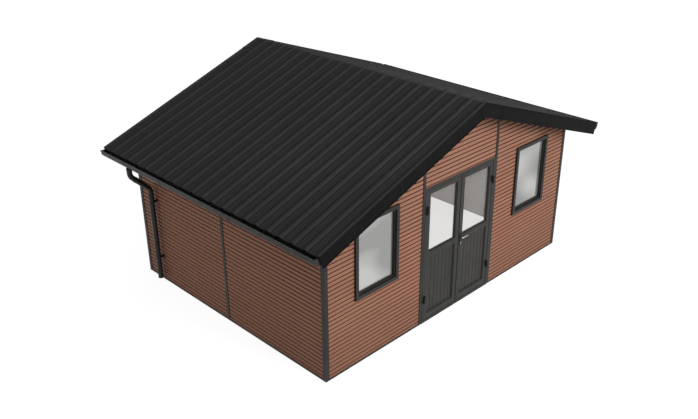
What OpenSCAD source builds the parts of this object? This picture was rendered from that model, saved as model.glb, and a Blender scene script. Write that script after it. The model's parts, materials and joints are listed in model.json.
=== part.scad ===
// Garden shed with a gabled sheet-metal roof, composite board walls,
// two fixed windows and a glazed double door that opens outwards.
// +Z is up, the front gable faces -Y and the eaves run along Y.
// The origin is on the ground, below the middle of the roof.

/* [Walls] */
// Width of the gable walls over the corner posts
wall_w = 5000; // [4800:10:5400]
// Depth of the shed over the corner posts
wall_d = 3890; // [3600:10:4200]
// Thickness of the composite wall boards
wall_t = 28; // [20:1:34]
// How far the boards sit behind the faces of the posts
wall_setback = 8; // [4:1:12]

/* [Posts] */
// Side of the square corner posts
corner_post = 60; // [50:1:70]
// Width of the other posts, seen from outside
post_w = 50; // [44:1:56]
// Distance of the rear posts from the middle of the rear wall
rear_post_x = 820; // [700:10:900]
// Height of the rails on the ground
rail_h = 25; // [20:1:32]

/* [Roof] */
// Height of the top of the roof at the ridge
ridge_h = 3061; // [2960:1:3160]
// Slope of the roof in degrees
pitch = 19.76; // [18.5:0.01:21]
// Distance of the eaves from the ridge, measured level
eave_x = 2850; // [2820:5:2880]
// Overhang of the roof in front of the front wall
front_over = 310; // [250:5:360]
// Overhang of the roof behind the rear wall
rear_over = 240; // [180:5:300]
// Number of spaces between the ribs of the roof sheets
rib_spaces = 21; // [18:1:24]
// Height of a rib above the pan of the sheet
rib_h = 22; // [16:1:26]
// Flat width on top of a rib
rib_top = 40; // [36:1:46]
// Thickness of the roof sheets
sheet_t = 4; // [3:0.5:5]
// Width of one side of the ridge cap, measured down the slope
cap_w = 310; // [250:5:350]
// Height of the bargeboards, square to the slope
barge_h = 186; // [150:1:200]
// Thickness of the bargeboards
barge_t = 20; // [16:1:24]

/* [Rainwater] */
// Width of the gutters
gutter_w = 118; // [110:1:130]
// Height of the gutters
gutter_h = 98; // [85:1:105]
// Height of the bottom of the gutters above the ground
gutter_z = 1918; // [1900:1:1930]
// Outer diameter of the downpipes
pipe_d = 75; // [60:1:80]
// Distance of the downpipes from the rear face of the shed
pipe_from_rear = 415; // [300:5:500]

/* [Windows] */
// Distance from the middle of the front wall to the windows
window_x = 1232; // [1200:1:1260]
// Width of a window over its frame
window_w = 765; // [700:5:790]
// Height of a window over its frame
window_h = 1055; // [950:5:1060]
// Height of the bottom of a window above the ground
window_z = 950; // [930:5:960]
// How far a window frame stands out from the boards
window_proud = 30; // [20:1:36]

/* [Door] */
// Distance from the middle of the doorway to the posts beside it
door_half = 728; // [720:1:740]
// Height of the top of the door frame
door_h = 2026; // [2010:1:2040]
// Gap between the two closed leaves
leaf_gap = 12; // [12:1:16]
// Thickness of the leaves
leaf_t = 50; // [44:1:54]

/* [Hidden] */
$fn = 48;
eps = 1;
far = 9000;

// roof
roof_len = wall_d + front_over + rear_over;
verge_y = roof_len / 2;
slope_len = eave_x / cos(pitch);
rib_run = 12;
rib_pitch = (roof_len - rib_top) / rib_spaces;
under = rib_h + sheet_t;
// the sheets stop short of the ridge so that their undersides don't cross
sheet_start = 12;
cap_t = 3;
purlin_w = 50;
purlin_h = 70;
purlin_s = 1480;
beam_w = 60;
beam_h = 100;
fascia_t = 20;
fascia_drop = 12;
touch = 0.3;

// walls: planes of the posts' outer faces
front_y = -verge_y + front_over;
rear_y = front_y + wall_d;
side_x = wall_w / 2;
mid_y = (front_y + rear_y) / 2;
post_t = 60;
rail_t = wall_t + 12;
rail_in = 2;

// gutters and downpipes
gutter_under_eave = 50;
gutter_x = eave_x - gutter_under_eave;
gutter_t = 3;
gutter_rim = 4;
gutter_fold = 12;
gutter_len = roof_len - 2 * (barge_t + 2);
pipe_r = pipe_d / 2;
pipe_y = rear_y - pipe_from_rear;
pipe_standoff = 37;
pipe_wall_x = side_x + pipe_r + pipe_standoff;
pipe_top_x = gutter_x + gutter_w / 2;
pipe_foot = 70;
pipe_drop = 125;

// windows
face_w = 52;
sash_w = 20;
sash_step = 20;
flange_lap = 20;
glass_depth = 50;
glass_t = 8;
window_in = 12;

// door
jamb_w = 35;
jamb_t = 72;
jamb_proud = 2;
stop_w = 13;
stop_t = 13;
side_gap = 6;
threshold_h = 35;
leaf_x0 = leaf_gap / 2;
leaf_x1 = door_half - jamb_w - side_gap;
leaf_z0 = threshold_h + 7;
leaf_z1 = door_h - jamb_w - side_gap;
leaf_y0 = front_y + 1;
stile_in = 70;
stile_out = 62;
rail_bottom = 89;
rail_top = 60;
panel_top_z = 1006;
pane_z = 1075;
panel_depth = 18;
panel_t = 14;
pane_depth = 26;
open_x0 = leaf_x0 + stile_in;
open_x1 = leaf_x1 - stile_out;
panel_z = leaf_z0 + rail_bottom;
pane_top_z = leaf_z1 - rail_top;

// hinges
hinge_r = 13;
hinge_h = 110;
hinge_axis_x = leaf_x1 + side_gap / 2;
hinge_axis_y = front_y - 18;
hinge_z = [372, 1706];
hinge_wing = 9;
hinge_lap = 20;
hinge_plate_t = 4;
half_gap = 0.5;
pin_r = 4;
pin_cover = 5;
pin_fit = 0.08;

// handle
handle_x = 41;
handle_z = 1051;
spindle_r = 9;
lever_r = 8;
lever_len = 120;
lever_reach = 48;
plate_w = 32;
plate_h = 185;
plate_t = 8;
plate_drop = 32;
lock_r = 9;
lock_drop = 82;

// height of a plane that lies depth below the tops of the ribs, at distance x from the ridge
function roof_z(x, depth) = ridge_h - depth / cos(pitch) - abs(x) * tan(pitch);

// a block between two corners
module block(lo, hi) {
    translate(lo) cube(hi - lo);
}

// the shape mirrored to the left when side is -1
module on_side(side) {
    mirror([side < 0 ? 1 : 0, 0, 0]) children();
}

// a plan of the right slope: X along the ridge, Y square to the slope, Z down the slope
module on_slope() {
    translate([0, 0, ridge_h]) rotate([0, pitch, 0]) rotate([90, 0, 90]) children();
}

// a drawing in the plane of a gable wall, from y0 to y1
module in_gable(y0, y1) {
    translate([0, y1, 0]) rotate([90, 0, 0]) linear_extrude(y1 - y0) children();
}

// everything below the underside of the roof sheets, as a gable outline
module under_roof() {
    polygon([[-far, -eps], [far, -eps], [far, roof_z(far, under + touch)],
             [0, roof_z(0, under + touch)], [-far, roof_z(far, under + touch)]]);
}

// a purlin, with room around it when grow is above 0
module purlin_shape(grow) {
    on_slope()
        translate([-verge_y + barge_t - grow, -under - touch - purlin_h - grow, purlin_s - grow])
            cube([roof_len - 2 * barge_t + 2 * grow, purlin_h + 2 * grow, purlin_w + 2 * grow]);
}

// the ridge beam, with room around it and above it when grow is above 0
module ridge_beam_shape(grow) {
    top_z = roof_z(beam_w / 2, under + touch);
    block([-beam_w / 2 - grow, -verge_y + barge_t - grow, top_z - beam_h - grow],
          [beam_w / 2 + grow, verge_y - barge_t + grow, grow > 0 ? ridge_h : top_z]);
}

// ---- posts and rails ----

// a post that runs from the ground up to the roof
module post(lo, hi) {
    difference() {
        intersection() {
            block([lo[0], lo[1], 0], [hi[0], hi[1], ridge_h]);
            in_gable(-verge_y, verge_y) under_roof();
        }
        children();
    }
}

module corner(side, y0) {
    color("dimgray") on_side(side)
        post([side_x - corner_post, y0], [side_x, y0 + corner_post]);
}

module door_post_pair() {
    color("dimgray") for (side = [-1, 1]) on_side(side)
        post([door_half, front_y], [door_half + post_w, front_y + post_t]);
}

module side_post_pair() {
    color("dimgray") for (side = [-1, 1]) on_side(side)
        post([side_x - post_t, mid_y - post_w / 2], [side_x, mid_y + post_w / 2]);
}

module rear_post_pair() {
    color("dimgray") for (side = [-1, 1]) on_side(side)
        post([rear_post_x - post_w / 2, rear_y - post_t], [rear_post_x + post_w / 2, rear_y]);
}

// rails between the posts: two in front, two on each side and three behind
module base_rail_set() {
    color("dimgray") {
        for (side = [-1, 1]) on_side(side) {
            block([door_half + post_w, front_y + rail_in, 0],
                  [side_x - corner_post, front_y + rail_in + rail_t, rail_h]);
            block([side_x - rail_in - rail_t, front_y + corner_post, 0],
                  [side_x - rail_in, mid_y - post_w / 2, rail_h]);
            block([side_x - rail_in - rail_t, mid_y + post_w / 2, 0],
                  [side_x - rail_in, rear_y - corner_post, rail_h]);
            block([rear_post_x + post_w / 2, rear_y - rail_in - rail_t, 0],
                  [side_x - corner_post, rear_y - rail_in, rail_h]);
        }
        block([-rear_post_x + post_w / 2, rear_y - rail_in - rail_t, 0],
              [rear_post_x - post_w / 2, rear_y - rail_in, rail_h]);
    }
}

// ---- walls ----

// the boards of a gable wall between x0 and x1, with the roof's slope on top
module gable_boards(x0, x1, z0, y_out, y_in) {
    intersection() {
        block([x0, min(y_out, y_in), z0], [x1, max(y_out, y_in), ridge_h]);
        in_gable(-verge_y, verge_y) under_roof();
    }
}

module front_boards(x0, x1, z0) {
    face = front_y + wall_setback;
    gable_boards(x0, x1, z0, face, face + wall_t);
}

module rear_boards(x0, x1) {
    face = rear_y - wall_setback;
    gable_boards(x0, x1, rail_h, face, face - wall_t);
}

// the hole in the boards that a window fits
module window_hole() {
    block([window_x + flange_lap, front_y - post_t, window_z + flange_lap],
          [window_x + window_w - flange_lap, front_y + post_t, window_z + window_h - flange_lap]);
}

module front_wall(side) {
    color("sienna") on_side(side) difference() {
        front_boards(door_half + post_w, side_x - corner_post, rail_h);
        window_hole();
        purlin_shape(eps);
    }
}

module front_wall_top() {
    color("sienna") difference() {
        front_boards(-door_half, door_half, door_h);
        ridge_beam_shape(eps);
    }
}

module side_wall(side, y0, y1) {
    face = side_x - wall_setback;
    color("sienna") on_side(side)
        block([face - wall_t, y0, rail_h], [face, y1, roof_z(face, under + touch)]);
}

module rear_wall(side) {
    color("sienna") on_side(side) difference() {
        rear_boards(rear_post_x + post_w / 2, side_x - corner_post);
        purlin_shape(eps);
    }
}

module rear_wall_middle() {
    color("sienna") difference() {
        rear_boards(-rear_post_x + post_w / 2, rear_post_x - post_w / 2);
        ridge_beam_shape(eps);
    }
}

// ---- windows ----

// a rectangular ring, inset by in0 outside and in1 inside, from y0 to y1
module window_ring(in0, in1, y0, y1) {
    difference() {
        block([window_x + in0, y0, window_z + in0],
              [window_x + window_w - in0, y1, window_z + window_h - in0]);
        block([window_x + in1, y0 - eps, window_z + in1],
              [window_x + window_w - in1, y1 + eps, window_z + window_h - in1]);
    }
}

module window_frame(side) {
    face = front_y + wall_setback;
    front = face - window_proud;
    color("dimgray") on_side(side) {
        window_ring(0, face_w, front, face);
        window_ring(flange_lap, face_w, face, face + wall_t + window_in);
        window_ring(face_w, face_w + sash_w, front + sash_step, face + wall_t + window_in);
    }
}

module window_glass(side) {
    inset = face_w + sash_w;
    front = front_y + wall_setback - window_proud + glass_depth;
    color("lightgray") on_side(side)
        block([window_x + inset, front, window_z + inset],
              [window_x + window_w - inset, front + glass_t, window_z + window_h - inset]);
}

// ---- door frame ----

module threshold() {
    y_in = front_y - jamb_proud + jamb_t;
    color("dimgray") {
        block([-door_half, front_y - jamb_proud, 0], [door_half, y_in, threshold_h]);
        block([-door_half + jamb_w, y_in - stop_t, threshold_h],
              [door_half - jamb_w, y_in, threshold_h + stop_w]);
    }
}

module door_jamb(side) {
    y_out = front_y - jamb_proud;
    inner = door_half - jamb_w;
    color("dimgray") on_side(side) {
        block([inner, y_out, threshold_h], [door_half, y_out + jamb_t, door_h]);
        block([inner - stop_w, y_out + jamb_t - stop_t, threshold_h + stop_w],
              [inner, y_out + jamb_t, door_h - jamb_w]);
    }
}

module door_head_bar() {
    y_out = front_y - jamb_proud;
    inner = door_half - jamb_w;
    color("dimgray") {
        block([-inner, y_out, door_h - jamb_w], [inner, y_out + jamb_t, door_h]);
        block([-inner + stop_w, y_out + jamb_t - stop_t, door_h - jamb_w - stop_w],
              [inner - stop_w, y_out + jamb_t, door_h - jamb_w]);
    }
}

// ---- door leaves ----

module spindle_hole(r) {
    translate([handle_x, front_y - far / 2, handle_z]) rotate([-90, 0, 0]) cylinder(r = r, h = far);
}

module leaf_frame(side) {
    y1 = leaf_y0 + leaf_t;
    color("darkslategray") on_side(side) difference() {
        block([leaf_x0, leaf_y0, leaf_z0], [leaf_x1, y1, leaf_z1]);
        block([open_x0, leaf_y0 - eps, panel_z], [open_x1, y1 + eps, panel_top_z]);
        block([open_x0, leaf_y0 - eps, pane_z], [open_x1, y1 + eps, pane_top_z]);
        if (side > 0) spindle_hole(spindle_r + 2);
    }
}

module leaf_panel(side) {
    color("darkslategray") on_side(side)
        block([open_x0, leaf_y0 + panel_depth, panel_z],
              [open_x1, leaf_y0 + panel_depth + panel_t, panel_top_z]);
}

module leaf_pane(side) {
    color("lightgray") on_side(side)
        block([open_x0, leaf_y0 + pane_depth, pane_z],
              [open_x1, leaf_y0 + pane_depth + glass_t, pane_top_z]);
}

// ---- hinges: the lower half is on the jamb and carries the pin, the upper half is on the leaf ----

module jamb_hinge_half(z) {
    low = z - hinge_h / 2;
    translate([hinge_axis_x, hinge_axis_y, low]) {
        cylinder(r = hinge_r, h = hinge_h / 2 - half_gap);
        cylinder(r = pin_r, h = hinge_h - pin_cover);
    }
    block([hinge_axis_x, hinge_axis_y, low],
          [hinge_axis_x + hinge_r + hinge_wing, front_y - jamb_proud, z - half_gap]);
}

module leaf_hinge_half(z) {
    low = z + half_gap;
    high = z + hinge_h / 2;
    plate_y = leaf_y0 - hinge_plate_t;
    difference() {
        union() {
            translate([hinge_axis_x, hinge_axis_y, low]) cylinder(r = hinge_r, h = high - low);
            block([hinge_axis_x - hinge_r - hinge_wing, hinge_axis_y, low],
                  [hinge_axis_x, plate_y, high]);
            block([hinge_axis_x - hinge_r - hinge_lap, plate_y, low], [leaf_x1, leaf_y0, high]);
        }
        translate([hinge_axis_x, hinge_axis_y, z - hinge_h])
            cylinder(r = pin_r + pin_fit, h = 1.5 * hinge_h - pin_cover + 1);
    }
}

module jamb_hinge_set() {
    color("black") for (side = [-1, 1]) on_side(side)
        for (z = hinge_z) jamb_hinge_half(z);
}

module leaf_hinge_set(side) {
    color("black") on_side(side) for (z = hinge_z) leaf_hinge_half(z);
}

// ---- handle: a plate on each face of the right leaf and one lever through both ----

module plate_shape() {
    reach = plate_h / 2 - plate_w / 2;
    translate([0, -plate_drop]) {
        square([plate_w, 2 * reach], center = true);
        for (end = [-1, 1]) translate([0, end * reach]) circle(d = plate_w);
    }
}

module handle_plate_pair() {
    color("black") difference() {
        for (y = [leaf_y0 - plate_t, leaf_y0 + leaf_t])
            translate([handle_x, y + plate_t, handle_z]) rotate([90, 0, 0])
                linear_extrude(plate_t) plate_shape();
        spindle_hole(spindle_r + 0.1);
    }
    color("silver") for (y = [leaf_y0 - plate_t - 3, leaf_y0 + leaf_t + plate_t])
        translate([handle_x, y, handle_z - lock_drop]) rotate([-90, 0, 0]) cylinder(r = lock_r, h = 3);
}

module lever() {
    y0 = leaf_y0 - lever_reach;
    y1 = leaf_y0 + leaf_t + lever_reach;
    color("silver") {
        translate([handle_x, y0, handle_z]) rotate([-90, 0, 0]) cylinder(r = spindle_r, h = y1 - y0);
        for (y = [y0 + lever_r, y1 - lever_r])
            translate([handle_x, y, handle_z]) rotate([0, 90, 0]) cylinder(r = lever_r, h = lever_len);
    }
}

// ---- roof ----

// height of the sheet's top surface in rib i, at its four corners
function rib_points(i, lift) =
    let (mid = -verge_y + rib_top / 2 + i * rib_pitch, half = rib_top / 2)
    [[mid - half - rib_run, lift - rib_h], [mid - half, lift], [mid + half, lift],
     [mid + half + rib_run, lift - rib_h]];

// the top line of the sheet from one verge to the other: it starts and ends on top of a rib
function sheet_line(lift) = [
    for (i = [0 : rib_spaces]) for (p = rib_points(i, lift))
        if (abs(p[0]) < verge_y + 0.001) p];

// a ribbed strip of thickness t, from s0 to s1 down the slope
module ribbed_strip(lift, t, s0, s1) {
    top = sheet_line(lift);
    bottom = sheet_line(lift - t);
    last = len(bottom) - 1;
    back = [for (i = [0 : last]) bottom[last - i]];
    on_slope() translate([0, 0, s0]) linear_extrude(s1 - s0) polygon(concat(top, back));
}

module roof_sheet(side) {
    color([0.13, 0.13, 0.13]) on_side(side) ribbed_strip(0, sheet_t, sheet_start, slope_len);
}

// the two sides of the ridge cap meet in a mitre above the ridge
module cap() {
    color([0.13, 0.13, 0.13]) for (side = [-1, 1]) on_side(side) intersection() {
        ribbed_strip(cap_t, cap_t, -sheet_start, cap_w);
        block([touch / 2, -verge_y - eps, 0], [far, verge_y + eps, far]);
    }
}

module beam() {
    color("saddlebrown") ridge_beam_shape(0);
}

module purlin_pair() {
    color("saddlebrown") for (side = [-1, 1]) on_side(side) purlin_shape(0);
}

// the right bargeboard ends in a pointed tongue beside the left one: x and depth of its corners
tongue = [[-45, 4], [-95, 110], [-26, 186]];

module bargeboard_outline(side) {
    e = eave_x - 1;
    depth = sheet_t + touch;
    low_x = e - (barge_h - depth) * sin(pitch);
    gap = side > 0 ? 0 : touch;
    top_x = tongue[0][0] - gap;
    mid_x = tongue[1][0] - gap;
    end_x = tongue[2][0] - gap;
    mid_z = roof_z(tongue[1][0], tongue[1][1]);
    if (side > 0) polygon([
        [0, roof_z(0, depth)], [e, roof_z(e, depth)], [low_x, roof_z(low_x, barge_h)],
        [0, roof_z(0, barge_h)], [end_x, roof_z(end_x, barge_h)], [mid_x, mid_z],
        [top_x, roof_z(top_x, depth)]]);
    else polygon([
        [-e, roof_z(e, depth)], [top_x, roof_z(top_x, depth)], [mid_x, mid_z],
        [end_x, roof_z(end_x, barge_h)], [-low_x, roof_z(low_x, barge_h)]]);
}

// at the rear the outlines are turned round, so that both gables look alike from outside
module bargeboard(front, side) {
    color([0.11, 0.11, 0.11])
        mirror([front ? 0 : 1, 0, 0])
            in_gable(front ? -verge_y : verge_y - barge_t, front ? -verge_y + barge_t : verge_y)
                bargeboard_outline(front ? side : -side);
}

module fascia_pair() {
    color([0.11, 0.11, 0.11]) for (side = [-1, 1]) on_side(side)
        block([gutter_x - fascia_t, -verge_y + barge_t, gutter_z - fascia_drop],
              [gutter_x, verge_y - barge_t, roof_z(gutter_x, under + touch)]);
}

// ---- rainwater ----

// outline of a gutter without its lip: flat back, bevelled front and a step outwards at the top
gutter_body_x = 0.9 * gutter_w;
gutter_outline = [[0, gutter_h - gutter_rim], [0, 0], [0.62 * gutter_w, 0],
                  [gutter_body_x, 0.36 * gutter_h], [gutter_body_x, 0.8 * gutter_h],
                  [gutter_w, 0.86 * gutter_h]];

module gutter_profile() {
    lip_x = gutter_w - gutter_fold;
    inner_x = gutter_body_x - gutter_t;
    difference() {
        polygon(concat(gutter_outline, [[gutter_w, gutter_h], [lip_x, gutter_h],
                                        [lip_x, gutter_h - gutter_rim]]));
        polygon([[gutter_t, gutter_t], [0.62 * gutter_w - 0.4 * gutter_t, gutter_t],
                 [inner_x, 0.36 * gutter_h], [inner_x, gutter_h + eps], [gutter_t, gutter_h + eps]]);
    }
}

module gutter_end() {
    polygon(concat(gutter_outline, [[gutter_w, gutter_h - gutter_rim]]));
}

module gutter(side) {
    color("dimgray") on_side(side) translate([gutter_x, 0, gutter_z]) {
        in_gable(-gutter_len / 2, gutter_len / 2) gutter_profile();
        for (y = [-gutter_len / 2, gutter_len / 2 - gutter_t])
            in_gable(y, y + gutter_t) gutter_end();
    }
}

// a round bar between two points of the plane y = pipe_y
module pipe_run(a, b) {
    run = b - a;
    translate([a[0], pipe_y, a[1]]) rotate([0, atan2(run[0], run[1]), 0])
        cylinder(r = pipe_r, h = norm(run));
}

module downpipe(side) {
    top = [pipe_top_x, gutter_z - touch];
    bend = [pipe_top_x, gutter_z - pipe_drop];
    wall_bend = [pipe_wall_x, bend[1] - (pipe_top_x - pipe_wall_x)];
    foot = [pipe_wall_x, pipe_foot];
    color("dimgray") on_side(side) {
        pipe_run(bend, top);
        pipe_run(wall_bend, bend);
        pipe_run(foot, wall_bend);
        for (p = [bend, wall_bend]) translate([p[0], pipe_y, p[1]]) sphere(r = pipe_r);
    }
}

base_rail_set();  // base_rails
threshold();  // door_threshold
corner(-1, front_y);  // corner_post_front_left
corner(1, front_y);  // corner_post_front_right
corner(-1, rear_y - corner_post);  // corner_post_rear_left
corner(1, rear_y - corner_post);  // corner_post_rear_right
door_post_pair();  // door_posts
side_post_pair();  // side_posts
rear_post_pair();  // rear_posts
front_wall(-1);  // front_wall_left
front_wall(1);  // front_wall_right
front_wall_top();  // front_wall_over_door
side_wall(-1, front_y + corner_post, mid_y - post_w / 2);  // left_wall_front
side_wall(-1, mid_y + post_w / 2, rear_y - corner_post);  // left_wall_rear
side_wall(1, front_y + corner_post, mid_y - post_w / 2);  // right_wall_front
side_wall(1, mid_y + post_w / 2, rear_y - corner_post);  // right_wall_rear
rear_wall(-1);  // rear_wall_left
rear_wall_middle();  // rear_wall_centre
rear_wall(1);  // rear_wall_right
window_frame(-1);  // window_frame_left
window_frame(1);  // window_frame_right
window_glass(-1);  // window_glass_left
window_glass(1);  // window_glass_right
door_jamb(-1);  // door_jamb_left
door_jamb(1);  // door_jamb_right
door_head_bar();  // door_head
leaf_frame(-1);  // door_leaf_left
leaf_frame(1);  // door_leaf_right
leaf_panel(-1);  // door_panel_left
leaf_panel(1);  // door_panel_right
leaf_pane(-1);  // door_glass_left
leaf_pane(1);  // door_glass_right
jamb_hinge_set();  // jamb_hinges
leaf_hinge_set(-1);  // leaf_hinges_left
leaf_hinge_set(1);  // leaf_hinges_right
handle_plate_pair();  // handle_plates
lever();  // handle_lever
beam();  // ridge_beam
purlin_pair();  // roof_purlins
roof_sheet(-1);  // roof_sheet_left
roof_sheet(1);  // roof_sheet_right
cap();  // ridge_cap
bargeboard(true, -1);  // bargeboard_front_left
bargeboard(true, 1);  // bargeboard_front_right
bargeboard(false, -1);  // bargeboard_rear_left
bargeboard(false, 1);  // bargeboard_rear_right
fascia_pair();  // fascia_boards
gutter(-1);  // gutter_left
gutter(1);  // gutter_right
downpipe(-1);  // downpipe_left
downpipe(1);  // downpipe_right
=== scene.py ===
"""Looks of the garden shed: grooved composite boards, sheet-metal roof, windows, double door.

Metres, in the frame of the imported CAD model: +Z up, the front gable faces -Y.
"""

import json
import math
import random

import bmesh
import bpy
from mathutils import Matrix, Vector


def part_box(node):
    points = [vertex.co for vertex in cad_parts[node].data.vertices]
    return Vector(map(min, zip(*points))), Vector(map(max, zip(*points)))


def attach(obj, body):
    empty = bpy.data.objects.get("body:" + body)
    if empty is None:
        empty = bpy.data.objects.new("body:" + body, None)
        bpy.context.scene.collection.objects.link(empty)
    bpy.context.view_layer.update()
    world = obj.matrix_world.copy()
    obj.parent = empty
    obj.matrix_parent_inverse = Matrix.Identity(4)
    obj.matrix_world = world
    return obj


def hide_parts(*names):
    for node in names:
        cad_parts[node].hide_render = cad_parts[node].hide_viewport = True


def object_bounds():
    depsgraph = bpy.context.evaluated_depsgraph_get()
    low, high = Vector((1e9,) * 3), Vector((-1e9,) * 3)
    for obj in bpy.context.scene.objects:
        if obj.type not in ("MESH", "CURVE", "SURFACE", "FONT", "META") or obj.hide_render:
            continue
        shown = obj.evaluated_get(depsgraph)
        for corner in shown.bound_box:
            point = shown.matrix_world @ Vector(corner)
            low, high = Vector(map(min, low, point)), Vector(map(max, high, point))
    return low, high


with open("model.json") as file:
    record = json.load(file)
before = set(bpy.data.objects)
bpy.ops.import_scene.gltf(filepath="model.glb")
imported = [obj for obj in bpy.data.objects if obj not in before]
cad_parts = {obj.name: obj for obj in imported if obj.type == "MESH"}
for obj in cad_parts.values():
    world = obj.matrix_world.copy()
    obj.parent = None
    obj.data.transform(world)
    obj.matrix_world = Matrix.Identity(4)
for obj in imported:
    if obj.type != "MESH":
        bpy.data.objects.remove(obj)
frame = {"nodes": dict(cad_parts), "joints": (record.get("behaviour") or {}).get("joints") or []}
cad_lo, cad_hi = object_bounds()

# ---- sizes, from the CAD model's boxes and its part.scad ----

PITCH = math.radians(19.76)
RIDGE_Z = cad_hi.z - 0.003 / math.cos(PITCH)  # top of the ribs at the ridge, below the cap
UNDER_SHEET = 0.0263  # from the tops of the ribs to the underside of the pans
VERGE_Y = cad_hi.y
EAVE_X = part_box("roof_sheet_right")[1].x
SLOPE_LEN = 2.85 / math.cos(PITCH)

FRONT_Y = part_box("door_posts")[0].y
REAR_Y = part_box("rear_posts")[1].y
SIDE_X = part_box("corner_post_front_right")[1].x
CORNER = 0.060
MID_Y = (FRONT_Y + REAR_Y) / 2
POST_W = 0.050
POST_T = 0.060
DOOR_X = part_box("door_jamb_right")[1].x
REAR_POST_X = 0.820
RAIL_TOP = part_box("front_wall_right")[0].z
DOOR_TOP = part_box("door_head")[1].z

BOARD_T = 0.028
FRONT_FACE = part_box("front_wall_right")[0].y
REAR_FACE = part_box("rear_wall_right")[1].y
SIDE_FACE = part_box("right_wall_front")[1].x
ROW = 0.060
ROW_START = 0.004
GROOVE_DEPTH = 0.011
GROOVE_HALF = 0.0062
GROOVE_SLANT = 0.0022


def under_roof(x):
    """Height of the underside of the roof sheets at distance x from the ridge."""
    return RIDGE_Z - UNDER_SHEET / math.cos(PITCH) - abs(x) * math.tan(PITCH)


def reach_under_roof(z):
    """How far from the ridge a wall may reach at height z."""
    return (RIDGE_Z - UNDER_SHEET / math.cos(PITCH) - z) / math.tan(PITCH)


# ---- places: each turns (u, v, w) of a drawing into the row frame ----


def gable(side=1):
    """u runs across, v up and w along Y."""
    return lambda u, v, w: (side * u, w, v)


def flank(side=1):
    """u runs along Y, v up and w across."""
    return lambda u, v, w: (side * w, u, v)


def plan(side=1):
    """u runs across, v along Y and w up."""
    return lambda u, v, w: (side * u, v, w)


def slope(side=1):
    """u runs along Y, v square to the slope above the rib tops, and w down the slope."""
    sin, cos = math.sin(PITCH), math.cos(PITCH)
    return lambda u, v, w: (side * (w * cos + v * sin), u, RIDGE_Z - w * sin + v * cos)


# ---- mesh code ----


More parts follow.
